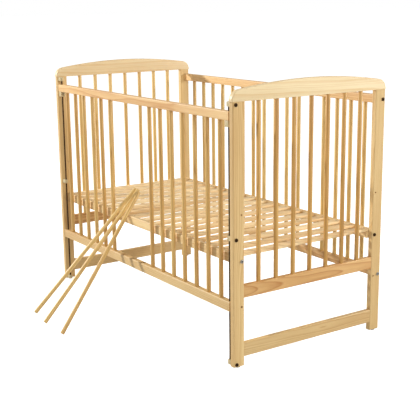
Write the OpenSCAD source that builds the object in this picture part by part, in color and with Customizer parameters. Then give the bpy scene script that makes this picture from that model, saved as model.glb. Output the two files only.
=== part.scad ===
// Baby crib with arched end panels, a fixed rear side, a drop side on steel guide
// rods, a slatted base at three heights and three pull-out bars.
// X runs along the crib, the drop side faces -Y, Z is up and the floor is Z = 0.

/* [Overall] */
// Clear length between the posts of the two end panels
inner_len = 1208; // [900:1:1500]
// Width over the posts
width = 640; // [560:1:900]
// Height from the floor to the top of the posts
post_h = 861; // [780:1:1100]

/* [End panels] */
// Post thickness, along the crib
post_t = 20; // [18:1:30]
// Post width, across the crib
post_w = 42; // [42:1:60]
// Rise of the arched board above the posts
arch_rise = 58; // [45:1:90]
// Radius of the arched board's crown
arch_r = 2000; // [1600:10:4000]
// Radius of the arched board's shoulders
shoulder_r = 35; // [20:1:40]
// Distance that the arched board stands out past the posts
arch_over = 3; // [0:0.5:8]
// Thickness of the panel's lower rail and stretcher
end_rail_t = 18; // [18:1:24]
// Height of the lower rail
end_rail_h = 43; // [38:1:60]
// Top of the lower rail above the floor
end_rail_top = 275; // [260:1:330]
// Height of the stretcher
stretcher_h = 47; // [38:1:60]
// Underside of the stretcher above the floor
stretcher_bottom = 33; // [28:1:60]
// Number of bars in an end panel
end_bars = 7; // [4:1:9]

/* [Sides] */
// Bar diameter
bar_d = 15; // [10:1:16]
// Number of bar places in a side
side_bars = 16; // [12:1:18]
// Thickness of the side rails
rail_t = 22; // [20:1:26]
// Height of a side's top rail
rail_top_h = 29; // [27:1:50]
// Top of the fixed side's top rail above the floor
rear_top = 842; // [800:1:860]
// Height of the fixed side's bottom rail
rear_bottom_h = 30; // [28:1:45]
// Underside of the fixed side's bottom rail above the floor
rear_bottom = 199; // [120:1:230]
// Top of the raised drop side above the floor
drop_top = 831; // [770:1:840]
// Height of the drop side's bottom rail
drop_bottom_h = 33; // [28:1:45]
// Underside of the raised drop side's bottom rail above the floor
drop_bottom = 187; // [175:1:230]
// Gap between the drop side's rails and the posts
drop_gap = 5; // [3:0.5:9]

/* [Base] */
// Height of the base's long rails
base_rail_h = 32; // [28:1:45]
// Width of the base's long rails
base_rail_w = 28; // [26:1:40]
// Gap between the base and the drop side's rails
base_gap = 1; // [0.5:0.5:6]
// Bolt height of the lowest of the three base levels
level_low = 204; // [190:1:210]
// Step from one base level to the next
level_step = 151; // [120:1:155]
// Number of slats
slat_count = 17; // [10:1:20]
// Slat width
slat_w = 37; // [30:1:55]
// Slat thickness
slat_t = 9; // [8:1:16]

/* [Guide rods] */
// Rod diameter
rod_d = 6; // [5:0.5:8]
// Distance from the post's inner face to the rod's axis
rod_off = 16; // [13:0.5:20]
// Length along the rod of each plastic bracket
bracket_h = 15; // [13:1:18]
// Centre of the middle saddle above the floor
saddle_z = 428; // [400:1:470]
// Outer radius of the brackets round the rod
bracket_r = 7.5; // [6.5:0.5:8]

/* [Catches] */
// Length of a catch housing along the crib
catch_l = 20; // [18:1:24]
// Width of a catch housing
catch_w = 20; // [18:1:22]
// Height of a catch housing
catch_h = 20; // [18:1:24]
// Length of the lever outside its housing
tab_l = 9; // [6:1:12]

/* [Pull-out bars] */
// Places of the three bars' feet, along from the last bar left of the gap and out
// from the base's front rail
foot_1 = [-80, 320];
foot_2 = [47, 339];
foot_3 = [191, 338];
// Sideways run of each bar from its foot to its top
run_1 = 122; // [80:1:130]
run_2 = 10; // [4:1:12]
run_3 = -119; // [-130:1:-80]

/* [Hardware] */
// Bolt diameter
bolt_d = 6; // [5:0.5:6.5]
// Bolt head diameter
head_d = 12; // [10:0.5:13]
// Bolt head height
head_h = 3; // [2:0.5:4]
// Barrel nut diameter
nut_d = 10; // [9:0.5:11]
// Dowel diameter
dowel_d = 8; // [6:0.5:8]
// Glide diameter
glide_d = 18; // [14:1:20]
// Glide height
glide_h = 4; // [3:0.5:6]

/* [Fits] */
// Radial clearance of bars, dowels and nuts in their holes
wood_fit = 0.1; // [0.05:0.05:0.3]
// Radial clearance of bolts in the posts
bolt_fit = 0.5; // [0.3:0.1:1]
// Radial clearance of the rod in what slides on it
slide_fit = 0.5; // [0.3:0.1:0.8]
// Radial clearance of the catch lever on its pin
pin_fit = 0.05; // [0.03:0.01:0.08]
// Clearance between faces that only pass each other
free_gap = 0.4; // [0.3:0.1:0.8]

/* [Hidden] */
$fn = 48;

pine = "#E8C48C";
pale_pine = "#F0DDB4";
warm_pine = "#D9A869";
white_plastic = "#D9D4C6";
dark_steel = "#4A3B28";
grey_steel = "#8C8A84";

over = 1;                                   // length by which a cut runs past a face
edge_r = 3;                                 // rounding of boards and rails
socket = 14;                                // depth of a bar's socket
half_in = inner_len / 2;                    // inner face of the posts
half_out = half_in + post_t;                // outer face of the posts
post_y = width / 2 - post_w / 2;            // middle of a post
inner_y = width / 2 - post_w;               // inner edge of the posts
side_y = width / 2 - rail_t / 2;            // middle of the long sides
bar_r = bar_d / 2;
side_pitch = (inner_len - side_bars * bar_d) / (side_bars + 1) + bar_d;
end_pitch = (2 * inner_y - end_bars * bar_d) / (end_bars + 1) + bar_d;
pulled = [7, 8, 9];                         // bar places left empty, from the left

base_y = side_y - rail_t / 2 - base_gap;    // outer face of the base's long rails
level = 1;                                  // level in use; the loose bars reach no other
bolt_up = 14;                               // base bolt above its rail's underside
base_bolt_y = base_y - 9;
base_bolt_z = level_low + level * level_step;
base_z = base_bolt_z - bolt_up;             // underside of the base
base_top = base_z + base_rail_h;
base_half = half_in - base_gap;
rebate_w = 14;                              // width of the slats' seat on the rails
slat_end = base_y - base_rail_w + rebate_w - free_gap;
slat_pitch = (2 * base_half - slat_w - 2 * free_gap) / (slat_count - 1);

rod_x = half_in - rod_off;
rod_y = -side_y;
rod_r = rod_d / 2;
rod_foot = glide_h + 5;
rod_head = post_h - 6;
bracket_bolt_z = [glide_h + 8, saddle_z, post_h - 9];
bracket_grip = 8;                           // bolt length inside a bracket

drop_half = half_in - drop_gap;
drop_bars_top = drop_top - rail_top_h;
catch_top = drop_bars_top;
pivot_x = rod_x - rod_r - 4;                // catch lever's pin
pivot_z = catch_top - catch_h / 2;
lever_w = 7;
lever_t = 5;
pin_r = 1.5;

bolt_r = bolt_d / 2;
nut_r = nut_d / 2;
nut_in = 34;                                // nut's distance from a rail's end
nut_l = 14;
rear_bolt_z = [rear_bottom + 10, rear_top - rail_top_h / 2];
dowel_l = 40;
dowel_y = [inner_y + 8, inner_y + 20];      // vertical dowels in a post's top

function side_x(i) = (i - (side_bars + 1) / 2) * side_pitch;
function end_y(i) = (i - (end_bars + 1) / 2) * end_pitch;
function kept(i) = len(search(i, pulled)) == 0;

// ---- shared shapes ----

module round_rect(w, h, r = edge_r) {
    square([w - 2 * r, h], center = true);
    square([w, h - 2 * r], center = true);
    for (sx = [-1, 1], sy = [-1, 1])
        translate([sx * (w / 2 - r), sy * (h / 2 - r)]) circle(r = r);
}

// board standing up from z0 to z1
module upright(x, y, z0, z1, w, d)
    translate([x, y, z0]) linear_extrude(z1 - z0) round_rect(w, d);

// rail along X, centred on x = 0
module rail_x(half, y, z0, h, d)
    translate([-half, y, z0 + h / 2]) rotate([90, 0, 90]) linear_extrude(2 * half) round_rect(d, h);

// rail along Y, centred on y = 0
module rail_y(x, half, z0, h, t)
    translate([x, half, z0 + h / 2]) rotate([90, 0, 0]) linear_extrude(2 * half) round_rect(t, h);

module hole_x(x, y, z, r, l) translate([x - l / 2, y, z]) rotate([0, 90, 0]) cylinder(r = r, h = l);
module hole_y(x, y, z, r, l) translate([x, y + l / 2, z]) rotate([90, 0, 0]) cylinder(r = r, h = l);
module hole_z(x, y, z, r, l) translate([x, y, z]) cylinder(r = r, h = l);

// ---- end panels, s = 1 right and -1 left, t = 1 rear and -1 front ----

module panel_dowel_set(s, t, fit) {
    x = s * (half_in + post_t / 2);
    r = dowel_d / 2 + fit;
    l = dowel_l + 2 * fit;
    for (y = dowel_y) hole_z(x, t * y, post_h - l / 2, r, l);
    for (dz = [-1, 1]) {
        hole_y(x, t * inner_y, end_rail_top - end_rail_h / 2 + dz * end_rail_h / 4, r, l);
        hole_y(x, t * inner_y, stretcher_bottom + stretcher_h / 2 + dz * stretcher_h / 4, r, l);
    }
}

module post(s, t) color(pale_pine) difference() {
    upright(s * (half_in + post_t / 2), t * post_y, glide_h, post_h, post_t, post_w);
    panel_dowel_set(s, t, wood_fit);
    for (n = [0:2])
        hole_x(s * (half_in + post_t / 2), t * base_bolt_y, level_low + n * level_step,
               bolt_r + bolt_fit, post_t + 2 * over);
    if (t > 0)
        for (z = rear_bolt_z)
            hole_x(s * (half_in + post_t / 2), side_y, z, bolt_r + bolt_fit, post_t + 2 * over);
    else
        for (z = bracket_bolt_z)
            hole_x(s * (half_in + post_t / 2), rod_y, z, bolt_r + bolt_fit, post_t + 2 * over);
    hole_z(s * (half_in + post_t / 2), t * post_y, glide_h - over, glide_pin_r + wood_fit,
           glide_pin_l + over);
}

module arch_outline() {
    half = width / 2 + arch_over;
    shoulder_z = arch_rise - arch_r
        + sqrt(pow(arch_r - shoulder_r, 2) - pow(half - shoulder_r, 2));
    intersection() {
        translate([0, arch_rise - arch_r]) circle(r = arch_r, $fn = 720);
        union() {
            translate([-half + shoulder_r, 0]) square([2 * (half - shoulder_r), arch_rise + over]);
            translate([-half, 0]) square([2 * half, max(shoulder_z, over)]);
            for (k = [-1, 1]) intersection() {
                translate([k * (half - shoulder_r), shoulder_z]) circle(r = shoulder_r, $fn = 96);
                translate([-half, 0]) square([2 * half, arch_rise + over]);
            }
        }
    }
}

module arch_board(s) color(pale_pine) difference() {
    translate([s * half_in + (s < 0 ? -post_t : 0), 0, post_h])
        rotate([90, 0, 90]) linear_extrude(post_t) arch_outline();
    for (t = [-1, 1]) panel_dowel_set(s, t, wood_fit);
    for (i = [1:end_bars])
        hole_z(s * (half_in + post_t / 2), end_y(i), post_h - over, bar_r + wood_fit,
               socket + over);
}

module end_rail(s) color(warm_pine) difference() {
    rail_y(s * (half_in + post_t / 2), inner_y, end_rail_top - end_rail_h, end_rail_h, end_rail_t);
    for (t = [-1, 1]) panel_dowel_set(s, t, wood_fit);
    for (i = [1:end_bars])
        hole_z(s * (half_in + post_t / 2), end_y(i), end_rail_top - socket, bar_r + wood_fit,
               socket + over);
}

module stretcher(s) color(pine) difference() {
    rail_y(s * (half_in + post_t / 2), inner_y, stretcher_bottom, stretcher_h, end_rail_t);
    for (t = [-1, 1]) panel_dowel_set(s, t, wood_fit);
}

module end_bar_set(s) color(pine)
    for (i = [1:end_bars])
        hole_z(s * (half_in + post_t / 2), end_y(i), end_rail_top - socket + free_gap, bar_r,
               post_h - end_rail_top + 2 * (socket - free_gap));

// ---- fixed rear side ----

module rear_bolt_cuts(z) {
    for (s = [-1, 1]) {
        hole_x(s * half_in, side_y, z, bolt_r + bolt_fit, 2 * (nut_in + nut_r + 6));
        hole_z(s * (half_in - nut_in), side_y, z - nut_l / 2 - 12, nut_r + wood_fit, nut_l + 12);
    }
}

module rear_rail_top() color(pine) difference() {
    rail_x(half_in, side_y, rear_top - rail_top_h, rail_top_h, rail_t);
    rear_bolt_cuts(rear_bolt_z[1]);
    for (i = [1:side_bars])
        hole_z(side_x(i), side_y, rear_top - rail_top_h - over, bar_r + wood_fit, socket + over);
}

module rear_rail_bottom() color(pine) difference() {
    rail_x(half_in, side_y, rear_bottom, rear_bottom_h, rail_t);
    rear_bolt_cuts(rear_bolt_z[0]);
    for (i = [1:side_bars])
        hole_z(side_x(i), side_y, rear_bottom + rear_bottom_h - socket, bar_r + wood_fit,
               socket + over);
}

module rear_bar_set() color(pine)
    for (i = [1:side_bars])
        hole_z(side_x(i), side_y, rear_bottom + rear_bottom_h - socket + free_gap, bar_r,
               rear_top - rail_top_h - rear_bottom - rear_bottom_h + 2 * (socket - free_gap));

// ---- drop side ----

// round seat for the guide rod, open towards the rail's end
module rod_notch(s, z, h) {
    r = rod_r + slide_fit;
    hole_z(s * rod_x, rod_y, z - over, r, h + 2 * over);
    translate([s > 0 ? rod_x : -rod_x - rod_off, rod_y - r, z - over])
        cube([rod_off, 2 * r, h + 2 * over]);
}

module drop_rail_top() color(pine) difference() {
    rail_x(drop_half, -side_y, drop_bars_top, rail_top_h, rail_t);
    for (s = [-1, 1]) rod_notch(s, drop_bars_top, rail_top_h);
    for (i = [1:side_bars])
        hole_z(side_x(i), -side_y, drop_bars_top - over, bar_r + wood_fit, socket + over);
}

module drop_rail_bottom() color(pine) difference() {
    rail_x(drop_half, -side_y, drop_bottom, drop_bottom_h, rail_t);
    for (s = [-1, 1]) rod_notch(s, drop_bottom, drop_bottom_h);
    for (i = [1:side_bars])
        hole_z(side_x(i), -side_y, drop_bottom + drop_bottom_h - socket, bar_r + wood_fit,
               socket + over);
}

bar_l = drop_bars_top - drop_bottom - drop_bottom_h + 2 * (socket - free_gap);

module drop_bar_set() color(pine)
    for (i = [1:side_bars])
        if (kept(i))
            hole_z(side_x(i), -side_y, drop_bottom + drop_bottom_h - socket + free_gap, bar_r,
                   bar_l);

// ---- guide rods and their brackets ----

module guide_rod(s) color(dark_steel)
    hole_z(s * rod_x, rod_y, rod_foot, rod_r, rod_head - rod_foot);

// plastic block between the post and the rod
module rod_block(s, z0, z1) {
    hole_z(s * rod_x, rod_y, z0, bracket_r, z1 - z0);
    translate([s > 0 ? rod_x : -half_in, rod_y - bracket_r, z0])
        cube([rod_off, 2 * bracket_r, z1 - z0]);
}

module bracket_bolt_cut(s, z)
    hole_x(s * (half_in - bracket_grip / 2), rod_y, z, bolt_r + wood_fit,
           bracket_grip + 2 * wood_fit);

module rod_bracket_top(s) color(white_plastic) difference() {
    rod_block(s, post_h - bracket_h - 1, post_h - 1);
    hole_z(s * rod_x, rod_y, post_h - bracket_h - 1 - over, rod_r + wood_fit,
           rod_head - post_h + bracket_h + 1 + over + free_gap);
    bracket_bolt_cut(s, bracket_bolt_z[2]);
}

module rod_saddle(s) color(white_plastic) difference() {
    rod_block(s, saddle_z - bracket_h / 2, saddle_z + bracket_h / 2);
    hole_z(s * rod_x, rod_y, saddle_z - bracket_h / 2 - over, rod_r + wood_fit,
           bracket_h + 2 * over);
    bracket_bolt_cut(s, bracket_bolt_z[1]);
}

module rod_bracket_foot(s) color(white_plastic) difference() {
    rod_block(s, glide_h + 1, glide_h + 1 + bracket_h);
    hole_z(s * rod_x, rod_y, rod_foot - free_gap, rod_r + wood_fit, bracket_h + over);
    bracket_bolt_cut(s, bracket_bolt_z[0]);
}

// ---- catches on the drop side ----

module catch_housing(s) color(white_plastic) difference() {
    translate([s * rod_x, rod_y, catch_top - catch_h]) linear_extrude(catch_h)
        round_rect(catch_l, catch_w, 2);
    hole_z(s * rod_x, rod_y, catch_top - catch_h - over, rod_r + slide_fit, catch_h + 2 * over);
    translate([s > 0 ? rod_x - catch_l : -rod_x, rod_y - catch_slot_w / 2,
               pivot_z - lever_t / 2 - lever_room])
        cube([catch_l, catch_slot_w, lever_t + 2 * lever_room]);
    hole_y(s * pivot_x, rod_y, pivot_z, pin_r + pin_fit, catch_w + 2 * over);
}

spring_w = 3;                               // room for the spring beside the lever
catch_slot_w = lever_w + spring_w + 2 * free_gap;
lever_room = 3;                             // room over and under the lever for its swing
lever_y = rod_y + spring_w / 2;

module catch_lever(s) color(white_plastic) difference() {
    tip = pivot_x + 4 - free_gap;
    tab = rod_x - catch_l / 2 - tab_l;
    translate([s > 0 ? tab : -tip, lever_y - lever_w / 2, pivot_z - lever_t / 2])
        cube([tip - tab, lever_w, lever_t]);
    hole_y(s * pivot_x, rod_y, pivot_z, pin_r + pin_fit, catch_w);
}

module catch_pin(s) color(grey_steel)
    hole_y(s * pivot_x, rod_y, pivot_z, pin_r, catch_w - 1);

module catch_spring(s) color(grey_steel)
    for (n = [0:2])
        translate([s * pivot_x, lever_y - lever_w / 2 - 0.8 - n * 0.8, pivot_z])
            rotate([90, 0, 0]) rotate_extrude() translate([pin_r + 0.7, 0]) circle(r = 0.35, $fn = 16);

// ---- slatted base ----

module base_rail(t) color(pine) difference() {
    rail_x(base_half, t * (base_y - base_rail_w / 2), base_z, base_rail_h, base_rail_w);
    translate([-base_half - over, t > 0 ? base_y - base_rail_w - over : -base_y + base_rail_w - rebate_w,
               base_top - slat_t])
        cube([2 * (base_half + over), rebate_w + over, slat_t + over]);
    for (s = [-1, 1]) {
        hole_x(s * base_half, t * base_bolt_y, base_bolt_z, bolt_r + bolt_fit,
               2 * (nut_in + nut_r + 6));
        hole_z(s * (half_in - nut_in), t * base_bolt_y, base_z - over, nut_r + wood_fit,
               bolt_up + nut_l / 2 + over);
    }
    for (i = [0:slat_count - 1])
        hole_z(slat_x(i), t * screw_y, base_top - slat_t - screw_grip - wood_fit,
               screw_r + wood_fit, screw_grip + slat_t + over);
}

function slat_x(i) = (i - (slat_count - 1) / 2) * slat_pitch;
screw_r = 1.8;
screw_head_r = 3.5;
screw_head_h = 2.2;
screw_grip = 10;
screw_y = slat_end - rebate_w / 2;

module slat_set() color(pine)
    for (i = [0:slat_count - 1]) difference() {
        translate([slat_x(i) - slat_w / 2, -slat_end, base_top - slat_t])
            cube([slat_w, 2 * slat_end, slat_t]);
        for (t = [-1, 1]) {
            hole_z(slat_x(i), t * screw_y, base_top - slat_t - over, screw_r + wood_fit,
                   slat_t + 2 * over);
            hole_z(slat_x(i), t * screw_y, base_top - screw_head_h - wood_fit,
                   screw_head_r + wood_fit, screw_head_h + over);
        }
    }

// ---- pull-out bars leaning on the base's front rail ----

// unit direction of a bar that stands out from the rail on the floor, clears the
// rail's rounded edge by free_gap and runs dx sideways over its length
function lean_up(out, dx) = let(
    dy = edge_r + out,
    dz = base_top - edge_r - bar_r * cos(atan2(base_top, dy)),
    up = atan2(dz, dy) + asin((bar_r + edge_r + free_gap) / sqrt(dy * dy + dz * dz)),
    side = dx / bar_l,
    flat = sqrt(1 - side * side)
) [side, flat * cos(up), flat * sin(up)];

module loose_bar(foot, dx) {
    d = lean_up(foot[1], dx);
    lift = bar_r * sqrt(1 - d[2] * d[2]);
    color(pale_pine)
        translate([side_x(pulled[0] - 1) + foot[0], -base_y - foot[1], lift + 0.05])
        rotate([0, acos(d[2]), atan2(d[1], d[0])]) cylinder(r = bar_r, h = bar_l);
}

// ---- fasteners ----

// socket head bolt along X through a post, its head outside the panel
module panel_bolt(s, y, z, l) difference() {
    union() {
        hole_x(s * (half_out - l / 2), y, z, bolt_r, l);
        hole_x(s * (half_out + head_h / 2), y, z, head_d / 2, head_h);
    }
    translate([s * (half_out + head_h - 2), y, z]) rotate([0, s * 90, 0])
        cylinder(r = bolt_d / 3, h = 2 + over, $fn = 6);
}

bolt_len = post_t + nut_in + nut_r + 4;

module base_bolt_set() color(grey_steel)
    for (s = [-1, 1], t = [-1, 1]) panel_bolt(s, t * base_bolt_y, base_bolt_z, bolt_len);

module rear_bolt_set() color(grey_steel)
    for (s = [-1, 1], z = rear_bolt_z) panel_bolt(s, side_y, z, bolt_len);

module bracket_bolt_set() color(dark_steel)
    for (s = [-1, 1], z = bracket_bolt_z) panel_bolt(s, rod_y, z, post_t + bracket_grip);

// barrel nut, upright in its rail, threaded across
module barrel_nut(x, y, z) difference() {
    hole_z(x, y, z - nut_l / 2, nut_r, nut_l);
    hole_x(x, y, z, bolt_r + pin_fit, nut_d + 2 * over);
}

module base_nut_set() color(grey_steel)
    for (s = [-1, 1], t = [-1, 1])
        barrel_nut(s * (half_in - nut_in), t * base_bolt_y, base_bolt_z);

module rear_nut_set() color(grey_steel)
    for (s = [-1, 1], z = rear_bolt_z) barrel_nut(s * (half_in - nut_in), side_y, z);

module slat_screw_set() color(dark_steel)
    for (i = [0:slat_count - 1], t = [-1, 1]) {
        hole_z(slat_x(i), t * screw_y, base_top - slat_t - screw_grip, screw_r,
               slat_t + screw_grip - screw_head_h);
        hole_z(slat_x(i), t * screw_y, base_top - screw_head_h, screw_head_r, screw_head_h);
    }

module dowel_set() color(warm_pine)
    for (s = [-1, 1], t = [-1, 1]) panel_dowel_set(s, t, 0);

glide_pin_r = 1.5;
glide_pin_l = 14;

module glide_set() color(grey_steel)
    for (s = [-1, 1], t = [-1, 1]) {
        hole_z(s * (half_in + post_t / 2), t * post_y, 0, glide_d / 2, glide_h);
        hole_z(s * (half_in + post_t / 2), t * post_y, glide_h, glide_pin_r, glide_pin_l - 1);
    }

// ---- nodes ----

post(1, -1);  // post_front_right
post(-1, -1);  // post_front_left
post(1, 1);  // post_rear_right
post(-1, 1);  // post_rear_left
arch_board(1);  // arch_board_right
arch_board(-1);  // arch_board_left
end_rail(1);  // end_rail_right
end_rail(-1);  // end_rail_left
stretcher(1);  // stretcher_right
stretcher(-1);  // stretcher_left
end_bar_set(1);  // end_bars_right
end_bar_set(-1);  // end_bars_left
rear_rail_top();  // rear_top_rail
rear_rail_bottom();  // rear_bottom_rail
rear_bar_set();  // rear_bars
drop_rail_top();  // drop_top_rail
drop_rail_bottom();  // drop_bottom_rail
drop_bar_set();  // drop_bars
guide_rod(1);  // guide_rod_right
guide_rod(-1);  // guide_rod_left
rod_bracket_top(1);  // rod_top_bracket_right
rod_bracket_top(-1);  // rod_top_bracket_left
rod_saddle(1);  // rod_saddle_right
rod_saddle(-1);  // rod_saddle_left
rod_bracket_foot(1);  // rod_foot_bracket_right
rod_bracket_foot(-1);  // rod_foot_bracket_left
catch_housing(1);  // catch_housing_right
catch_housing(-1);  // catch_housing_left
catch_lever(1);  // catch_lever_right
catch_lever(-1);  // catch_lever_left
catch_pin(1);  // catch_pin_right
catch_pin(-1);  // catch_pin_left
catch_spring(1);  // catch_spring_right
catch_spring(-1);  // catch_spring_left
base_rail(-1);  // base_front_rail
base_rail(1);  // base_rear_rail
slat_set();  // base_slats
loose_bar(foot_1, run_1);  // loose_bar_1
loose_bar(foot_2, run_2);  // loose_bar_2
loose_bar(foot_3, run_3);  // loose_bar_3
base_bolt_set();  // base_bolts
base_nut_set();  // base_barrel_nuts
rear_bolt_set();  // rear_bolts
rear_nut_set();  // rear_barrel_nuts
bracket_bolt_set();  // bracket_bolts
slat_screw_set();  // slat_screws
dowel_set();  // panel_dowels
glide_set();  // glides
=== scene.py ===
import math
import random

import bmesh
import bpy
from mathutils import Matrix, Vector


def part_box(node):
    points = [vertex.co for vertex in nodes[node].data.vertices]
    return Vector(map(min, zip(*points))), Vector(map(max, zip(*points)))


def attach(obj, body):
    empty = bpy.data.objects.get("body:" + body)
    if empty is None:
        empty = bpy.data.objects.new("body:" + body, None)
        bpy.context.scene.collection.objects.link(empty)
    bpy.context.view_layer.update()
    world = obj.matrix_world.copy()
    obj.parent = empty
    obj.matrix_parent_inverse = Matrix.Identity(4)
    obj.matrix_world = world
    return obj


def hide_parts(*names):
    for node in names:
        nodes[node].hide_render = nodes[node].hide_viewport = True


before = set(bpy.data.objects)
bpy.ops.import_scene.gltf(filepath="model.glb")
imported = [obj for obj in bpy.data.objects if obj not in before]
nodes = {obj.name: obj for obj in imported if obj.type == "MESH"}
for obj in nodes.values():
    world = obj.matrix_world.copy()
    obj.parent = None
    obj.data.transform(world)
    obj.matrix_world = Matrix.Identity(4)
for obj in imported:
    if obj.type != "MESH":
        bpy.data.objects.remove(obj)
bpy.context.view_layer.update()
mm = 0.001
near = 1e-6  # places this close count as one, in metres
weld = {"outline": 0.01 * mm, "copy": 0.002 * mm}  # points closer than this are merged
along = 0.999  # how nearly a direction has to follow an axis to count as that axis
ends = {"right": 1, "left": -1}  # the two end panels, at +X and -X


# colours and node helpers

def fromHex(code):
    # a screen colour as the linear one that shaders want
    channels = [int(code[i:i + 2], 16) / 255 for i in (1, 3, 5)]
    return tuple(c / 12.92 if c <= 0.04045 else ((c + 0.055) / 1.055) ** 2.4
                 for c in channels) + (1.0,)


def addNode(tree, kind, values=None, **settings):
    made = tree.nodes.new(kind)
    for key, value in settings.items():
        setattr(made, key, value)
    for key, value in (values or {}).items():
        if isinstance(value, bpy.types.NodeSocket):
            tree.links.new(value, made.inputs[key])
        else:
            made.inputs[key].default_value = value
    return made


def calc(tree, what, first, second=0.0, clamp=False):
    return addNode(tree, "ShaderNodeMath", {0: first, 1: second},
                   operation=what, use_clamp=clamp).outputs[0]


def remap(tree, value, low, high, newLow=0.0, newHigh=1.0, smooth=False):
    return addNode(tree, "ShaderNodeMapRange",
                   {"Value": value, "From Min": low, "From Max": high,
                    "To Min": newLow, "To Max": newHigh},
                   interpolation_type="SMOOTHSTEP" if smooth else "LINEAR").outputs[0]


def stretch(tree, vector, by):
    return addNode(tree, "ShaderNodeVectorMath", {0: vector, 1: by},
                   operation="MULTIPLY").outputs[0]


def cloud(tree, vector, scale=1.0, detail=2.0, roughness=0.5, output="Fac"):
    return addNode(tree, "ShaderNodeTexNoise",
                   {"Vector": vector, "Scale": scale, "Detail": detail,
                    "Roughness": roughness}).outputs[output]


def blendColours(tree, amount, first, second, how="MIX"):
    made = addNode(tree, "ShaderNodeMix", data_type="RGBA", blend_type=how)
    for socket, value in ((0, amount), (6, first), (7, second)):
        if isinstance(value, bpy.types.NodeSocket):
            tree.links.new(value, made.inputs[socket])
        else:
            made.inputs[socket].default_value = value
    return made.outputs[2]  # the colour result


def newGroup(name, takes, gives):
    tree = bpy.data.node_groups.new(name, "ShaderNodeTree")
    for label, kind, value in takes:
        socket = tree.interface.new_socket(label, in_out="INPUT", socket_type=kind)
        if value is not None:
            socket.default_value = value
    for label, kind in gives:
        tree.interface.new_socket(label, in_out="OUTPUT", socket_type=kind)
    return (tree, tree.nodes.new("NodeGroupInput").outputs,
            tree.nodes.new("NodeGroupOutput").inputs)


# how pine looks, in metres of wood; three numbers are along, across and through the grain
grainLook = {"wander": (1.6, 9, 9), "wanderBy": 0.022, "knotSpread": (2.4, 8, 8),
             "knotRim": (0.075, 0.045), "knotReach": (0.45, 0.05), "knotBend": 0.010,
             "unevenSize": 70.0, "unevenBy": 2.2, "fibre": (14, 620, 620),
             "fleck": (5, 150, 150), "blotch": (1.3, 11, 11), "knotColour": "#7A4A22"}


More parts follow.
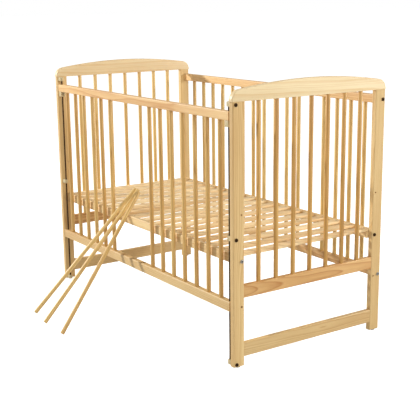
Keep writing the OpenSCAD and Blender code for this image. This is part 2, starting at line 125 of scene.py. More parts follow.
def grainGroup():
    # pine cut from a log whose heart lies along X of the Grain vector
    look = grainLook
    tree, take, give = newGroup("pineGrain", [
        ("Grain", "NodeSocketVector", None),
        ("Tone", "NodeSocketFloat", 0.5),
        ("Early wood", "NodeSocketColor", (0.8, 0.6, 0.3, 1)),
        ("Late wood", "NodeSocketColor", (0.5, 0.3, 0.1, 1)),
        ("Ring pitch", "NodeSocketFloat", 0.004),
        ("Ring strength", "NodeSocketFloat", 0.6),
        ("Knots", "NodeSocketFloat", 0.0),
    ], [("Color", "NodeSocketColor"), ("Roughness", "NodeSocketFloat"),
        ("Height", "NodeSocketFloat")])
    grain = take["Grain"]
    drift = addNode(tree, "ShaderNodeVectorMath",
                    {0: cloud(tree, stretch(tree, grain, look["wander"]), output="Color"),
                     1: (0.5, 0.5, 0.5)}, operation="SUBTRACT").outputs[0]
    sideways = (0, look["wanderBy"], look["wanderBy"])
    wandered = addNode(tree, "ShaderNodeVectorMath",
                       {0: grain, 1: stretch(tree, drift, sideways)},
                       operation="ADD").outputs[0]
    knotAway = addNode(tree, "ShaderNodeTexVoronoi",
                       {"Vector": stretch(tree, grain, look["knotSpread"]),
                        "Scale": 1.0}).outputs["Distance"]
    knot = calc(tree, "MULTIPLY", remap(tree, knotAway, *look["knotRim"]), take["Knots"])
    bend = calc(tree, "MULTIPLY", remap(tree, knotAway, *look["knotReach"], smooth=True),
                take["Knots"])
    apart = addNode(tree, "ShaderNodeSeparateXYZ", {0: wandered}).outputs
    across = addNode(tree, "ShaderNodeCombineXYZ", {"Y": apart["Y"], "Z": apart["Z"]}).outputs[0]
    fromHeart = addNode(tree, "ShaderNodeVectorMath", {0: across},
                        operation="LENGTH").outputs["Value"]
    fromHeart = calc(tree, "ADD", fromHeart, calc(tree, "MULTIPLY", bend, look["knotBend"]))
    uneven = addNode(tree, "ShaderNodeTexNoise",
                     {"W": fromHeart, "Scale": look["unevenSize"], "Detail": 1.0},
                     noise_dimensions="1D").outputs["Fac"]
    ringAt = calc(tree, "ADD", calc(tree, "DIVIDE", fromHeart, take["Ring pitch"]),
                  calc(tree, "MULTIPLY", uneven, look["unevenBy"]))
    ring = addNode(tree, "ShaderNodeValToRGB", {"Fac": calc(tree, "FRACT", ringAt)})
    ramp = ring.color_ramp
    ramp.interpolation = "EASE"
    for at, grey in ((0.35, 0.10), (0.68, 0.42), (0.90, 1.0)):
        ramp.elements.new(at).color = (grey, grey, grey, 1)
    ramp.elements[-1].color = (0, 0, 0, 1)
    fibre = cloud(tree, stretch(tree, grain, look["fibre"]), detail=3.0, roughness=0.6)
    fleck = cloud(tree, stretch(tree, grain, look["fleck"]), detail=2.0)
    blotch = cloud(tree, stretch(tree, grain, look["blotch"]), detail=1.0)
    late = calc(tree, "MULTIPLY", ring.outputs["Color"], take["Ring strength"])
    late = calc(tree, "ADD", late, remap(tree, fibre, 0.3, 0.75, -0.10, 0.20))
    late = calc(tree, "ADD", late, remap(tree, fleck, 0.35, 0.7, -0.06, 0.14), clamp=True)
    colour = blendColours(tree, late, take["Early wood"], take["Late wood"])
    shade = blendColours(tree, remap(tree, blotch, 0.3, 0.7),
                         (0.90, 0.82, 0.72, 1), (1.05, 1.05, 1.04, 1))
    colour = blendColours(tree, 1.0, colour, shade, "MULTIPLY")
    # low tones also stand in for painted shade, on the right end's bars
    toned = blendColours(tree, take["Tone"],  # 0 is dark, orange wood and 1 is pale wood
                         (0.80, 0.64, 0.44, 1), (1.10, 1.14, 1.16, 1))
    colour = blendColours(tree, 1.0, colour, toned, "MULTIPLY")
    colour = blendColours(tree, knot, colour, fromHex(look["knotColour"]))
    links = tree.links
    links.new(colour, give["Color"])
    links.new(remap(tree, calc(tree, "SUBTRACT", fibre, calc(tree, "MULTIPLY", late, 0.4)),
                    0.0, 0.8, 0.36, 0.56), give["Roughness"])
    links.new(calc(tree, "ADD", calc(tree, "MULTIPLY", fibre, 0.55),
                   calc(tree, "MULTIPLY", late, 0.45)), give["Height"])
    return tree


def mottleGroup():
    # faint cloudiness and fine pits for moulded and metal parts
    tree, take, give = newGroup("mottle", [
        ("Where", "NodeSocketVector", None),
        ("Light", "NodeSocketColor", (1, 1, 1, 1)),
        ("Dull", "NodeSocketColor", (0.5, 0.5, 0.5, 1)),
        ("Low roughness", "NodeSocketFloat", 0.3),
        ("High roughness", "NodeSocketFloat", 0.5),
        ("Size", "NodeSocketFloat", 60.0),
    ], [("Color", "NodeSocketColor"), ("Roughness", "NodeSocketFloat"),
        ("Height", "NodeSocketFloat")])
    wide = cloud(tree, take["Where"], scale=take["Size"], detail=4.0, roughness=0.6)
    fine = cloud(tree, take["Where"], scale=1700.0, detail=2.0)  # pits of about half a mm
    links = tree.links
    links.new(blendColours(tree, remap(tree, wide, 0.35, 0.68), take["Light"], take["Dull"]),
              give["Color"])
    spread = remap(tree, calc(tree, "ADD", wide, calc(tree, "MULTIPLY", fine, 0.4)), 0.4, 1.0)
    links.new(addNode(tree, "ShaderNodeMapRange",
                      {"Value": spread, "To Min": take["Low roughness"],
                       "To Max": take["High roughness"]}).outputs[0], give["Roughness"])
    links.new(fine, give["Height"])
    return tree


def newMaterial(name, colour):
    made = bpy.data.materials.new(name)
    made.use_nodes = True
    made.diffuse_color = colour
    return made, made.node_tree, made.node_tree.nodes["Principled BSDF"]


def finishMaterial(tree, shader, group, strength, depth):
    links = tree.links
    links.new(group.outputs["Color"], shader.inputs["Base Color"])
    links.new(group.outputs["Roughness"], shader.inputs["Roughness"])
    bump = addNode(tree, "ShaderNodeBump", {"Height": group.outputs["Height"],
                                            "Strength": strength, "Distance": depth})
    links.new(bump.outputs["Normal"], shader.inputs["Normal"])


pineGrain = grainGroup()
mottle = mottleGroup()
varnish = {"weight": 0.12, "roughness": 0.34, "bump": 0.22, "depth": 0.25 * mm}  # thin, satin
mould = {"bump": 0.12, "depth": 0.15 * mm}


def pine(name, early, late, pitch, strength, knots=0.0):
    made, tree, shader = newMaterial(name, fromHex(early))
    grain = addNode(tree, "ShaderNodeAttribute", attribute_name="grainAt")
    tone = addNode(tree, "ShaderNodeAttribute", attribute_name="toneAt")
    group = addNode(tree, "ShaderNodeGroup", node_tree=pineGrain)
    tree.links.new(grain.outputs["Vector"], group.inputs["Grain"])
    tree.links.new(tone.outputs["Fac"], group.inputs["Tone"])
    group.inputs["Early wood"].default_value = fromHex(early)
    group.inputs["Late wood"].default_value = fromHex(late)
    group.inputs["Ring pitch"].default_value = pitch
    group.inputs["Ring strength"].default_value = strength
    group.inputs["Knots"].default_value = knots
    finishMaterial(tree, shader, group, varnish["bump"], varnish["depth"])
    shader.inputs["Coat Weight"].default_value = varnish["weight"]
    shader.inputs["Coat Roughness"].default_value = varnish["roughness"]
    return made


def mottled(name, light, dull, rough, size, metal=0.0):
    made, tree, shader = newMaterial(name, fromHex(light))
    where = addNode(tree, "ShaderNodeTexCoord")
    group = addNode(tree, "ShaderNodeGroup", node_tree=mottle)
    tree.links.new(where.outputs["Object"], group.inputs["Where"])
    group.inputs["Light"].default_value = fromHex(light)
    group.inputs["Dull"].default_value = fromHex(dull)
    group.inputs["Low roughness"].default_value = rough[0]
    group.inputs["High roughness"].default_value = rough[1]
    group.inputs["Size"].default_value = size
    finishMaterial(tree, shader, group, mould["bump"], mould["depth"])
    shader.inputs["Metallic"].default_value = metal
    return made


palePine = pine("palePine", "#EBDAB4", "#D9B77F", pitch=0.0050, strength=0.50)
postPine = pine("postPine", "#E6CF9C", "#C79F61", pitch=0.0040, strength=0.62)
warmPine = pine("warmPine", "#EAC890", "#C38C4C", pitch=0.0052, strength=0.72, knots=0.7)
stretcherPine = pine("stretcherPine", "#E2CB9A", "#BE9558", pitch=0.0044, strength=0.6, knots=0.4)
railPine = pine("railPine", "#F0D3A0", "#CB9453", pitch=0.0046, strength=0.62, knots=0.25)
barPine = pine("barPine", "#EACC8A", "#B78B40", pitch=0.0040, strength=0.62)
slatPine = pine("slatPine", "#FDECC4", "#E8B878", pitch=0.0055, strength=0.55, knots=0.2)
basePine = pine("basePine", "#F2DCAC", "#CFA264", pitch=0.0046, strength=0.55)
beech = pine("beech", "#D2A774", "#A77645", pitch=0.0020, strength=0.3)
palePlastic = mottled("palePlastic", "#D2C094", "#B9A377", (0.38, 0.55), 45.0)
glidePlastic = mottled("glidePlastic", "#8A7658", "#6C5A40", (0.4, 0.6), 60.0)
darkSteel = mottled("darkSteel", "#563B20", "#2E1E0E", (0.45, 0.62), 120.0, metal=0.8)
zincSteel = mottled("zincSteel", "#C9C6BE", "#94918A", (0.25, 0.42), 150.0, metal=0.9)
print("materials ready")


# shared shapes

def levelEdges(part, axis="z"):
    # the edges with both ends at one place along the axis
    return [e for e in part.edges
            if abs(getattr(e.verts[0].co, axis) - getattr(e.verts[1].co, axis)) < near / 10]


def soften(part, edges, size, segments=3):
    bmesh.ops.bevel(part, geom=edges, offset=size, offset_type="OFFSET", segments=segments,
                    profile=0.5, affect="EDGES", clamp_overlap=True, material=-1)


def board(length, width, thickness, edge, end):
    # lies along X with its middle at the origin
    part = bmesh.new()
    bmesh.ops.create_cube(part, size=1.0)
    bmesh.ops.scale(part, vec=(length, width, thickness), verts=part.verts)
    long = [e for e in part.edges if abs(e.verts[0].co.x - e.verts[1].co.x) > length / 2]
    soften(part, long, edge)
    tips = [e for e in part.edges
            if all(abs(abs(v.co.x) - length / 2) < near for v in e.verts)]
    soften(part, tips, end, 2)
    return part


def bar(length, radius, end, segments=32):
    part = bmesh.new()
    bmesh.ops.create_cone(part, cap_ends=True, segments=segments, radius1=radius,
                          radius2=radius, depth=length)
    soften(part, levelEdges(part), end, 2)
    bmesh.ops.rotate(part, matrix=Matrix.Rotation(math.pi / 2, 3, "Y"), verts=part.verts)
    return part


def setGrain(part, dice, tone, heart=(0.025, 0.08), lean=0.02):
    # where each point lies in the log that the part is cut from; the part is along X
    grainAt = part.verts.layers.float_vector.new("grainAt")
    toneAt = part.verts.layers.float.new("toneAt")
    start, turn, away = dice.uniform(0, 40), dice.uniform(0, math.tau), dice.uniform(*heart)
    leanY, leanZ = dice.uniform(-lean, lean), dice.uniform(-lean, lean)
    shade = dice.uniform(*tone)
    for v in part.verts:
        x, y, z = v.co
        v[grainAt] = (x + start, y + away * math.cos(turn) + x * leanY,
                      z + away * math.sin(turn) + x * leanZ)
        v[toneAt] = shade


def joinInto(whole, part, place):
    bmesh.ops.transform(part, matrix=place, verts=part.verts)
    carrier = bpy.data.meshes.new("carrier")
    part.to_mesh(carrier)
    part.free()
    whole.from_mesh(carrier)
    bpy.data.meshes.remove(carrier)


def lay(axis, centre):
    # turns a part from X to the given axis and moves it to its place
    axis = Vector(axis).normalized()
    if abs(axis.x) > along:
        turned = Matrix.Identity(4)
    elif abs(axis.y) > along:
        turned = Matrix.Rotation(math.pi / 2, 4, "Z")
    elif abs(axis.z) > along:
        turned = Matrix.Rotation(-math.pi / 2, 4, "Y")
    else:
        turned = axis.to_track_quat("X", "Z").to_matrix().to_4x4()
    return Matrix.Translation(centre) @ turned


sharpAngle = math.radians(35)  # edges that turn by more stay crisp


def makePiece(name, whole, materials, body, node):
    mesh = bpy.data.meshes.new(name)
    bmesh.ops.recalc_face_normals(whole, faces=whole.faces)
    whole.to_mesh(mesh)
    whole.free()
    mesh.shade_smooth()
    mesh.set_sharp_from_angle(angle=sharpAngle)
    for material in materials:
        mesh.materials.append(material)
    piece = bpy.data.objects.new(name, mesh)  # at the origin, its place is in its mesh
    bpy.context.scene.collection.objects.link(piece)
    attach(piece, body)
    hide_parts(node)


def makeSingle(kind, part, place, material, body, node):
    # a piece of one part, named after its CAD node
    whole = bmesh.new()
    joinInto(whole, part, place)
    makePiece(kind + "_" + node, whole, [material], body, node)


def pushOut(part, by):
    # thickens a flat outline into a solid and centres it
    pushed = bmesh.ops.extrude_face_region(part, geom=part.faces[:])
    bmesh.ops.translate(part, vec=by,
                        verts=[g for g in pushed["geom"] if isinstance(g, bmesh.types.BMVert)])
    bmesh.ops.translate(part, vec=-by / 2, verts=part.verts)
    bmesh.ops.recalc_face_normals(part, faces=part.faces)


def sweep(part, last, cent, axis, angle, steps):
    # carries an outline on round an arc, and returns its new last point
    swept = bmesh.ops.spin(part, geom=[last], cent=cent, axis=axis, angle=angle,
                           steps=steps, use_merge=False)
    return next(g for g in swept["geom_last"] if isinstance(g, bmesh.types.BMVert))


def closeOutline(part):
    bmesh.ops.remove_doubles(part, verts=part.verts, dist=weld["outline"])
    bmesh.ops.contextual_create(part, geom=part.edges)


def mergedCopy(node):
    part = bmesh.new()
    part.from_mesh(nodes[node].data)
    bmesh.ops.remove_doubles(part, verts=part.verts, dist=weld["copy"])
    return part


def looseSolids(node):
    # lowest corner, highest corner, middle and long axis of each solid of a CAD node
    part = mergedCopy(node)
    found = []
    for first in part.verts:
        if first.tag:
            continue
        first.tag, todo, solid = True, [first], []
        while todo:
            v = todo.pop()
            solid.append(v.co.copy())
            for e in v.link_edges:
                other = e.other_vert(v)
                if not other.tag:
                    other.tag = True
                    todo.append(other)
        low = Vector(min(c[i] for c in solid) for i in range(3))
        high = Vector(max(c[i] for c in solid) for i in range(3))
        middle = sum(solid, Vector()) / len(solid)
        far = max(solid, key=lambda c: round((c - middle).length, 7))
        end = [c for c in solid if (c - middle).dot((far - middle).normalized())
               > 0.8 * (far - middle).length]  # the points round the far end
        axis = sum(end, Vector()) / len(end) - middle
        found.append((low, high, middle, axis))
    part.free()
    return sorted(found, key=lambda s: (round(s[2].x, 4), round(s[2].y, 4), round(s[2].z, 4)))


# boards with holes, copied from the CAD solids: length axis, finish, slot, tone and body

cutBoards = {
    "post_front_right": ("Z", postPine, "post_wood", (0.42, 0.48), "frame"),
    "post_front_left": ("Z", postPine, "post_wood", (0.36, 0.46), "frame"),
    "post_rear_right": ("Z", postPine, "post_wood", (0.48, 0.56), "frame"),
    "post_rear_left": ("Z", postPine, "post_wood", (0.40, 0.55), "frame"),
    "rear_top_rail": ("X", railPine, "rail_wood", (0.50, 0.60), "frame"),
    "rear_bottom_rail": ("X", railPine, "rail_wood", (0.45, 0.55), "frame"),
    "drop_top_rail": ("X", railPine, "rail_wood", (0.36, 0.44), "drop_side"),
    "drop_bottom_rail": ("X", stretcherPine, "rail_wood", (0.40, 0.48), "drop_side"),
    "base_front_rail": ("X", basePine, "base_rail_wood", (0.45, 0.55), "frame"),
    "base_rear_rail": ("X", basePine, "base_rail_wood", (0.42, 0.55), "frame"),
}
cutGrain = {"heart": (0.03, 0.07), "lean": 0.012, "flat": math.radians(0.5)}


def copiedBoard(node, length, tone, dice):
    part = mergedCopy(node)
    bmesh.ops.dissolve_limit(part, angle_limit=cutGrain["flat"], verts=part.verts,
                             edges=part.edges, delimit=set())
    low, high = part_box(node)
    home = lay({"X": (1, 0, 0), "Z": (0, 0, 1)}[length], (low + high) / 2)
    bmesh.ops.transform(part, matrix=home.inverted(), verts=part.verts)
    setGrain(part, dice, tone, heart=cutGrain["heart"], lean=cutGrain["lean"])
    return part, home


for node, (length, material, slot, tone, body) in cutBoards.items():
    part, home = copiedBoard(node, length, tone, random.Random("board " + node))
    makeSingle("wood", part, home, material, body, node)
print("posts and rails ready")


# arched boards

arch = {"rise": 58 * mm, "crown": 2000 * mm, "shoulder": 35 * mm, "edge": 3 * mm,
        "foot": 0.7 * mm, "crownSteps": 48, "shoulderSteps": 10, "tone": (0.62, 0.72),
        "heart": (0.05, 0.11), "lean": 0.02}


def archPart(half, thickness):
    # outline swept point by point in the YZ plane, then thickened along X
    reach = half - arch["shoulder"]
    heartZ = arch["rise"] - arch["crown"]
    shoulderZ = heartZ + math.sqrt((arch["crown"] - arch["shoulder"]) ** 2 - reach ** 2)
    lean = math.atan2(reach, shoulderZ - heartZ)
    part = bmesh.new()
    start = part.verts.new((0, half, 0))
    last = part.verts.new((0, half, shoulderZ))
    part.edges.new((start, last))
    turn = math.pi / 2 - lean
    for cent, angle, steps in (((0, reach, shoulderZ), turn, arch["shoulderSteps"]),
                               ((0, 0, heartZ), 2 * lean, arch["crownSteps"]),
                               ((0, -reach, shoulderZ), turn, arch["shoulderSteps"])):
        last = sweep(part, last, cent, (1, 0, 0), angle, steps)
    end = part.verts.new((0, -half, 0))
    part.edges.new((last, end))
    part.edges.new((end, start))
    closeOutline(part)
    pushOut(part, Vector((thickness, 0, 0)))
    rim = [e for e in levelEdges(part, "x") if any(v.co.z > near for v in e.verts)]
    soften(part, rim, arch["edge"])
    foot = [e for e in part.edges if all(v.co.z < near for v in e.verts)
            and len(e.link_faces) == 2 and e.calc_face_angle(0) > 1.0]
    soften(part, foot, arch["foot"], 1)
    return part


for name in ends:
    node = "arch_board_" + name
    low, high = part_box(node)
    part = archPart((high.y - low.y) / 2, high.x - low.x)
    turned = Matrix.Rotation(-math.pi / 2, 4, "Z")  # lays the board along X for its grain
    bmesh.ops.transform(part, matrix=turned, verts=part.verts)
    setGrain(part, random.Random("arch " + name), arch["tone"], arch["heart"], arch["lean"])
    place = Matrix.Translation(((low.x + high.x) / 2, 0, low.z)) @ turned.inverted()
    makeSingle("wood", part, place, palePine, "frame", node)
print("arches ready")


# plain boards and slats

plainBoards = {
    "end_rail": {"material": warmPine, "slot": "end_rail_wood", "tone": (0.36, 0.46)},
    "stretcher": {"material": stretcherPine, "slot": "stretcher_wood", "tone": (0.42, 0.55)},
}
plain = {"edge": 3 * mm, "end": 0.5 * mm, "heart": (0.02, 0.05), "lean": 0.035}
for kind, choice in plainBoards.items():
    for name in ends:
        node = f"{kind}_{name}"
        low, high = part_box(node)
        size = high - low
        part = board(size.y, size.x, size.z, plain["edge"], plain["end"])
        setGrain(part, random.Random("plain " + node), choice["tone"], plain["heart"],
                 plain["lean"])
        makeSingle("wood", part, lay((0, 1, 0), (low + high) / 2), choice["material"],
                   "frame", node)

slat = {"edge": 1.6 * mm, "end": 0.8 * mm, "tone": (0.30, 0.72), "heart": (0.02, 0.07),
        "lean": 0.03}
slatDice = random.Random("slats")
whole = bmesh.new()
for low, high, middle, axis in looseSolids("base_slats"):
    size = high - low
    part = board(size.y, size.x, size.z, slat["edge"], slat["end"])
    setGrain(part, slatDice, slat["tone"], slat["heart"], slat["lean"])
    joinInto(whole, part, lay((0, 1, 0), (low + high) / 2))
makePiece("wood_slats", whole, [slatPine], "frame", "base_slats")
print("boards and slats ready")


# round bars

barSets = {
    # the right end's bars get the darkest tone: painted shade on their outer faces
    "end_bars_right": {"body": "frame", "tone": (0.00, 0.14)},
    "end_bars_left": {"body": "frame", "tone": (0.60, 0.90)},
    "rear_bars": {"body": "frame", "tone": (0.60, 0.95)},
    "drop_bars": {"body": "drop_side", "tone": (0.24, 0.52)},
    "loose_bar_1": {"body": "loose_bar_1", "tone": (0.64, 0.74)},
    "loose_bar_2": {"body": "loose_bar_2", "tone": (0.74, 0.84)},
    "loose_bar_3": {"body": "loose_bar_3", "tone": (0.60, 0.70)},
}
roundBar = {"radius": 7.5 * mm, "end": 1.2 * mm, "heart": (0.02, 0.06), "lean": 0.016}
for node, choice in barSets.items():
    dice = random.Random("bars " + node)
    whole = bmesh.new()
    for low, high, middle, axis in looseSolids(node):
        part = bar(2 * axis.length, roundBar["radius"], roundBar["end"])
        setGrain(part, dice, choice["tone"], roundBar["heart"], roundBar["lean"])
        joinInto(whole, part, lay(axis, middle))
    makePiece("wood_" + node, whole, [barPine], choice["body"], node)
print("bars ready")


# guide rods and their brackets

rod = {"end": 0.5 * mm, "segments": 24}
for name in ends:
    node = "guide_rod_" + name
    low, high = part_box(node)
    part = bar(high.z - low.z, (high.x - low.x) / 2, rod["end"], rod["segments"])
    makeSingle("metal", part, lay((0, 0, 1), (low + high) / 2), darkSteel, "frame", node)

bracket = {"edge": 1.2 * mm, "steps": 14}


def bracketPart(reach, radius, height):
    # D-shaped block, half round about the rod at the origin and flat at +X, on the post
    part = bmesh.new()
    last = part.verts.new((0, -radius, 0))
    corner = part.verts.new((reach, -radius, 0))
    part.edges.new((corner, last))
    last = sweep(part, last, (0, 0, 0), (0, 0, 1), -math.pi, bracket["steps"])
    other = part.verts.new((reach, radius, 0))
    part.edges.new((last, other))
    part.edges.new((other, corner))
    closeOutline(part)
    pushOut(part, Vector((0, 0, height)))
    rims = [e for e in levelEdges(part) if any(v.co.x <= reach - near for v in e.verts)]
    soften(part, rims, bracket["edge"], 2)
    return part


def faceEnd(end, place):
    # puts a part made for the right end at its place, turned about Z for the left end
    turned = Matrix.Identity(4) if end > 0 else Matrix.Rotation(math.pi, 4, "Z")
    return Matrix.Translation(place) @ turned


for kind in ("rod_top_bracket", "rod_saddle", "rod_foot_bracket"):
    for name, end in ends.items():
        node = f"{kind}_{name}"
        low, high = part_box(node)
        radius = (high.y - low.y) / 2
        part = bracketPart(high.x - low.x - radius, radius, high.z - low.z)
        rodX = low.x + radius if end > 0 else high.x - radius
        place = faceEnd(end, (rodX, (low.y + high.y) / 2, (low.z + high.z) / 2))
        makeSingle("plastic", part, place, palePlastic, "frame", node)
print("rods and brackets ready")


# catches

housing = {"corner": 2.4 * mm, "edge": 1.0 * mm, "slotMargin": 4.5 * mm, "slotDepth": 6 * mm}
lever = {"edge": 1.0 * mm, "end": 0.8 * mm}
ridge = {"count": 3, "size": 1.2 * mm, "edge": 0.4 * mm, "end": 0.3 * mm, "share": 0.8,
         "step": 2 * mm}  # share is how much of the lever's width a ridge takes


def housingPart(size):
    # the lever's slot opens towards -X
    part = bmesh.new()
    bmesh.ops.create_cube(part, size=1.0)
    bmesh.ops.scale(part, vec=size, verts=part.verts)
    upright = [e for e in part.edges if abs(e.verts[0].co.z - e.verts[1].co.z) > size.z / 2]
    soften(part, upright, housing["corner"])
    rims = [e for e in part.edges
            if all(abs(abs(v.co.z) - size.z / 2) < near for v in e.verts)]
    soften(part, rims, housing["edge"], 2)
    mouth = min(part.faces, key=lambda f: (round(f.calc_center_median().x, 6), -f.calc_area()))
    bmesh.ops.inset_individual(part, faces=[mouth], thickness=housing["slotMargin"], depth=0)
    pushed = bmesh.ops.extrude_discrete_faces(part, faces=[mouth])["faces"]
    bmesh.ops.translate(part, vec=(housing["slotDepth"], 0, 0), verts=pushed[0].verts)
    return part


def leverPart(size):
    # thumb end towards -X, with ridges across its top
    part = board(size.x, size.y, size.z, lever["edge"], lever["end"])
    for n in range(1, ridge["count"] + 1):
        strip = board(size.y * ridge["share"], ridge["size"], ridge["size"], ridge["edge"],
                      ridge["end"])
        joinInto(part, strip, lay((0, 1, 0), (n * ridge["step"] - size.x / 2, 0, size.z / 2)))
    return part


for name, end in ends.items():
    for kind, shape, body in (("catch_housing", housingPart, "drop_side"),
                              ("catch_lever", leverPart, "catch_lever_" + name)):
        node = f"{kind}_{name}"
        low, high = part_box(node)
        makeSingle("plastic", shape(high - low), faceEnd(end, (low + high) / 2), palePlastic,
                   body, node)
print("catches ready")


# bolts, screws and glides

bolt = {"head": 6 * mm, "headHeight": 3 * mm, "rim": 0.9 * mm, "face": 1.6 * mm,
        "key": 3.1 * mm, "keyDepth": 2 * mm, "shank": 3 * mm, "tip": 0.6 * mm,
        "segments": 24, "shankSegments": 16}
zinc, dark = 0, 1  # the places of a bolt's two materials


def boltPart(length, headMaterial):
    # along X, the head's outer face at x = 0 and the shank towards -X
    keyFlat = bolt["key"] * math.cos(math.pi / 6)
    part = bmesh.new()
    bmesh.ops.create_cone(part, cap_ends=True, segments=bolt["segments"], radius1=bolt["head"],
                          radius2=bolt["head"], depth=bolt["headHeight"])
    top = max(part.faces, key=lambda f: f.calc_center_median().z)
    soften(part, list(top.edges), bolt["rim"], 3)
    top = max(part.faces, key=lambda f: (round(f.calc_center_median().z, 6), f.calc_area()))
    bmesh.ops.inset_individual(part, faces=[top], thickness=bolt["face"], depth=0)
    for v in top.verts:  # the inner ring becomes the key's six-sided mouth
        around = math.atan2(v.co.y, v.co.x) % (math.pi / 3) - math.pi / 6
        v.co.xy = v.co.xy.normalized() * keyFlat / math.cos(around)
    pushed = bmesh.ops.extrude_discrete_faces(part, faces=[top])["faces"]
    bmesh.ops.translate(part, vec=(0, 0, -bolt["keyDepth"]), verts=pushed[0].verts)
    for f in part.faces:
        f.material_index = headMaterial
    # the key's floor is dark steel even on zinc heads: painted shade in the recess
    pushed[0].material_index = dark
    bmesh.ops.translate(part, vec=(0, 0, -bolt["headHeight"] / 2), verts=part.verts)
    shank = bar(length - bolt["headHeight"], bolt["shank"], bolt["tip"],
                bolt["shankSegments"])
    joinInto(part, shank, lay((0, 0, 1), (0, 0, -(length + bolt["headHeight"]) / 2)))
    bmesh.ops.rotate(part, matrix=Matrix.Rotation(math.pi / 2, 3, "Y"), verts=part.verts)
    return part


boltSets = {  # the record's slot, and which heads are dark
    "base_bolts": ("zinc_steel", lambda place: place.y > 0),
    "rear_bolts": ("zinc_steel", lambda place: place.z > 0.5),
    "bracket_bolts": ("dark_steel", lambda place: True),
}
for node, (slot, isDark) in boltSets.items():
    whole = bmesh.new()
    for low, high, middle, axis in looseSolids(node):
        place = (low + high) / 2
        place.x = high.x if middle.x > 0 else low.x
        part = boltPart(high.x - low.x, dark if isDark(place) else zinc)
        joinInto(whole, part, faceEnd(middle.x, place))
    makePiece("metal_" + node, whole, [zincSteel, darkSteel], "frame", node)

screw = {"head": 3.4 * mm, "taper": 0.5 * mm, "height": 1.2 * mm, "proud": 0.25 * mm,
         "mouth": 1.8 * mm, "mouthDepth": 0.8 * mm, "segments": 12}
whole = bmesh.new()
for low, high, middle, axis in looseSolids("slat_screws"):
    part = bmesh.new()
    bmesh.ops.create_cone(part, cap_ends=True, segments=screw["segments"],
                          radius1=screw["head"], radius2=screw["head"] - screw["taper"],
                          depth=screw["height"])
    top = max(part.faces, key=lambda f: f.calc_center_median().z)
    bmesh.ops.inset_individual(part, faces=[top], thickness=screw["mouth"],
                               depth=-screw["mouthDepth"])
    joinInto(whole, part, Matrix.Translation((middle.x, (low.y + high.y) / 2,
                                              high.z + screw["proud"] - screw["height"] / 2)))
makePiece("metal_slat_screws", whole, [darkSteel], "frame", "slat_screws")

glide = {"height": 4 * mm, "edge": 1.4 * mm, "segments": 28}
whole = bmesh.new()
for low, high, middle, axis in looseSolids("glides"):
    part = bmesh.new()
    radius = (high.x - low.x) / 2
    bmesh.ops.create_cone(part, cap_ends=True, segments=glide["segments"], radius1=radius,
                          radius2=radius, depth=glide["height"])
    foot = [e for e in part.edges if all(v.co.z < 0 for v in e.verts)]
    soften(part, foot, glide["edge"])
    joinInto(whole, part, Matrix.Translation(((low.x + high.x) / 2, (low.y + high.y) / 2,
                                              glide["height"] / 2)))
makePiece("plastic_glides", whole, [glidePlastic], "frame", "glides")

dowel = {"end": 1 * mm, "segments": 16, "tone": (0.4, 0.6)}
whole = bmesh.new()
dowelDice = random.Random("dowels")
for low, high, middle, axis in looseSolids("panel_dowels"):
    size = high - low
    long = max(range(3), key=lambda i: size[i])
    part = bar(size[long], size[(long + 1) % 3] / 2, dowel["end"], dowel["segments"])
    setGrain(part, dowelDice, dowel["tone"])
    joinInto(whole, part, lay([1 if i == long else 0 for i in range(3)], (low + high) / 2))
makePiece("wood_panel_dowels", whole, [beech], "frame", "panel_dowels")

for node in ("base_barrel_nuts", "rear_barrel_nuts", "catch_pin_right", "catch_pin_left",
             "catch_spring_right", "catch_spring_left"):  # kept as they are, only given zinc steel
    for slotAt in nodes[node].material_slots:
        slotAt.material = zincSteel
print("bolts, screws and glides ready")


# studio

studio = {"floorSize": 60.0, "floorPaint": (0.62, 0.62, 0.61, 1), "floorRough": 0.9,
          "floorShine": 0.1, "glow": 0.85, "white": (1, 1, 1, 1), "fill": 0.38,
          "aim": (0, 0, 0.45)}
lamps = {"left": {"place": (-4.0, -3.6, 2.6), "size": 0.25, "power": 300},
         "right": {"place": (3.0, 4.4, 2.2), "size": 0.9, "power": 140},
         "near": {"place": (5.0, -0.8, 2.6), "size": 3.6, "power": 108},
         "over": {"place": (-0.3, 0.2, 4.6), "size": 3.6, "power": 26}}

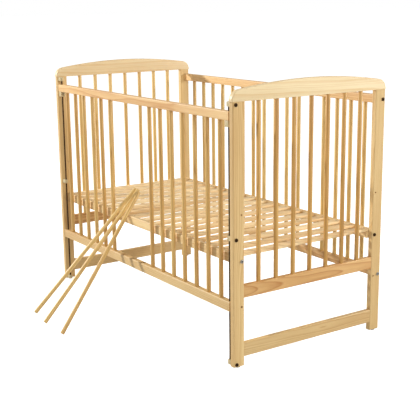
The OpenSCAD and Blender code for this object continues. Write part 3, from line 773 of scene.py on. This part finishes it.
floorShape = bmesh.new()
bmesh.ops.create_grid(floorShape, x_segments=1, y_segments=1, size=studio["floorSize"])
floorMesh = bpy.data.meshes.new("floor")
floorShape.to_mesh(floorMesh)
floorShape.free()
floor = bpy.data.objects.new("floor", floorMesh)
bpy.context.scene.collection.objects.link(floor)
paper, tree, shader = newMaterial("paper", studio["floorPaint"])
shader.inputs["Base Color"].default_value = studio["floorPaint"]
shader.inputs["Roughness"].default_value = studio["floorRough"]
shader.inputs["Specular IOR Level"].default_value = studio["floorShine"]
shader.inputs["Emission Color"].default_value = studio["white"]
seen = addNode(tree, "ShaderNodeLightPath").outputs["Is Camera Ray"]
tree.links.new(calc(tree, "MULTIPLY", seen, studio["glow"]),
               shader.inputs["Emission Strength"])  # the floor looks like a lit white sweep
floorMesh.materials.append(paper)

for name, choice in lamps.items():
    lamp = bpy.data.lights.new("lamp_" + name, "AREA")
    lamp.size = choice["size"]
    lamp.energy = choice["power"]
    lampObject = bpy.data.objects.new("lamp_" + name, lamp)
    lampObject.location = choice["place"]
    aim = Vector(studio["aim"]) - Vector(choice["place"])
    lampObject.rotation_euler = aim.to_track_quat("-Z", "Y").to_euler()
    lampObject.visible_camera = False
    bpy.context.scene.collection.objects.link(lampObject)

world = bpy.data.worlds.new("studio")
world.use_nodes = True
tree = world.node_tree
seen = addNode(tree, "ShaderNodeLightPath").outputs["Is Camera Ray"]
strength = remap(tree, seen, 0.0, 1.0, studio["fill"], 1.0)
tree.links.new(strength, tree.nodes["Background"].inputs["Strength"])
tree.nodes["Background"].inputs["Color"].default_value = studio["white"]
bpy.context.scene.world = world
bpy.context.scene.view_settings.view_transform = "Standard"

view = {"place": (2.90556, -1.95959, 1.16858), "yaw": 55.77, "pitch": -12.85, "roll": -0.60,
        "lens": 79.56, "sensor": 36, "reach": 200}
camera = bpy.data.cameras.new("camera")
camera.lens = view["lens"]
camera.sensor_width = view["sensor"]
camera.clip_end = view["reach"]
cameraObject = bpy.data.objects.new("camera", camera)
cameraObject.matrix_world = (Matrix.Translation(view["place"])
                             @ Matrix.Rotation(math.radians(view["yaw"]), 4, "Z")
                             @ Matrix.Rotation(math.radians(90 + view["pitch"]), 4, "X")
                             @ Matrix.Rotation(math.radians(view["roll"]), 4, "Z"))
bpy.context.scene.collection.objects.link(cameraObject)
bpy.context.scene.camera = cameraObject
print("studio ready")
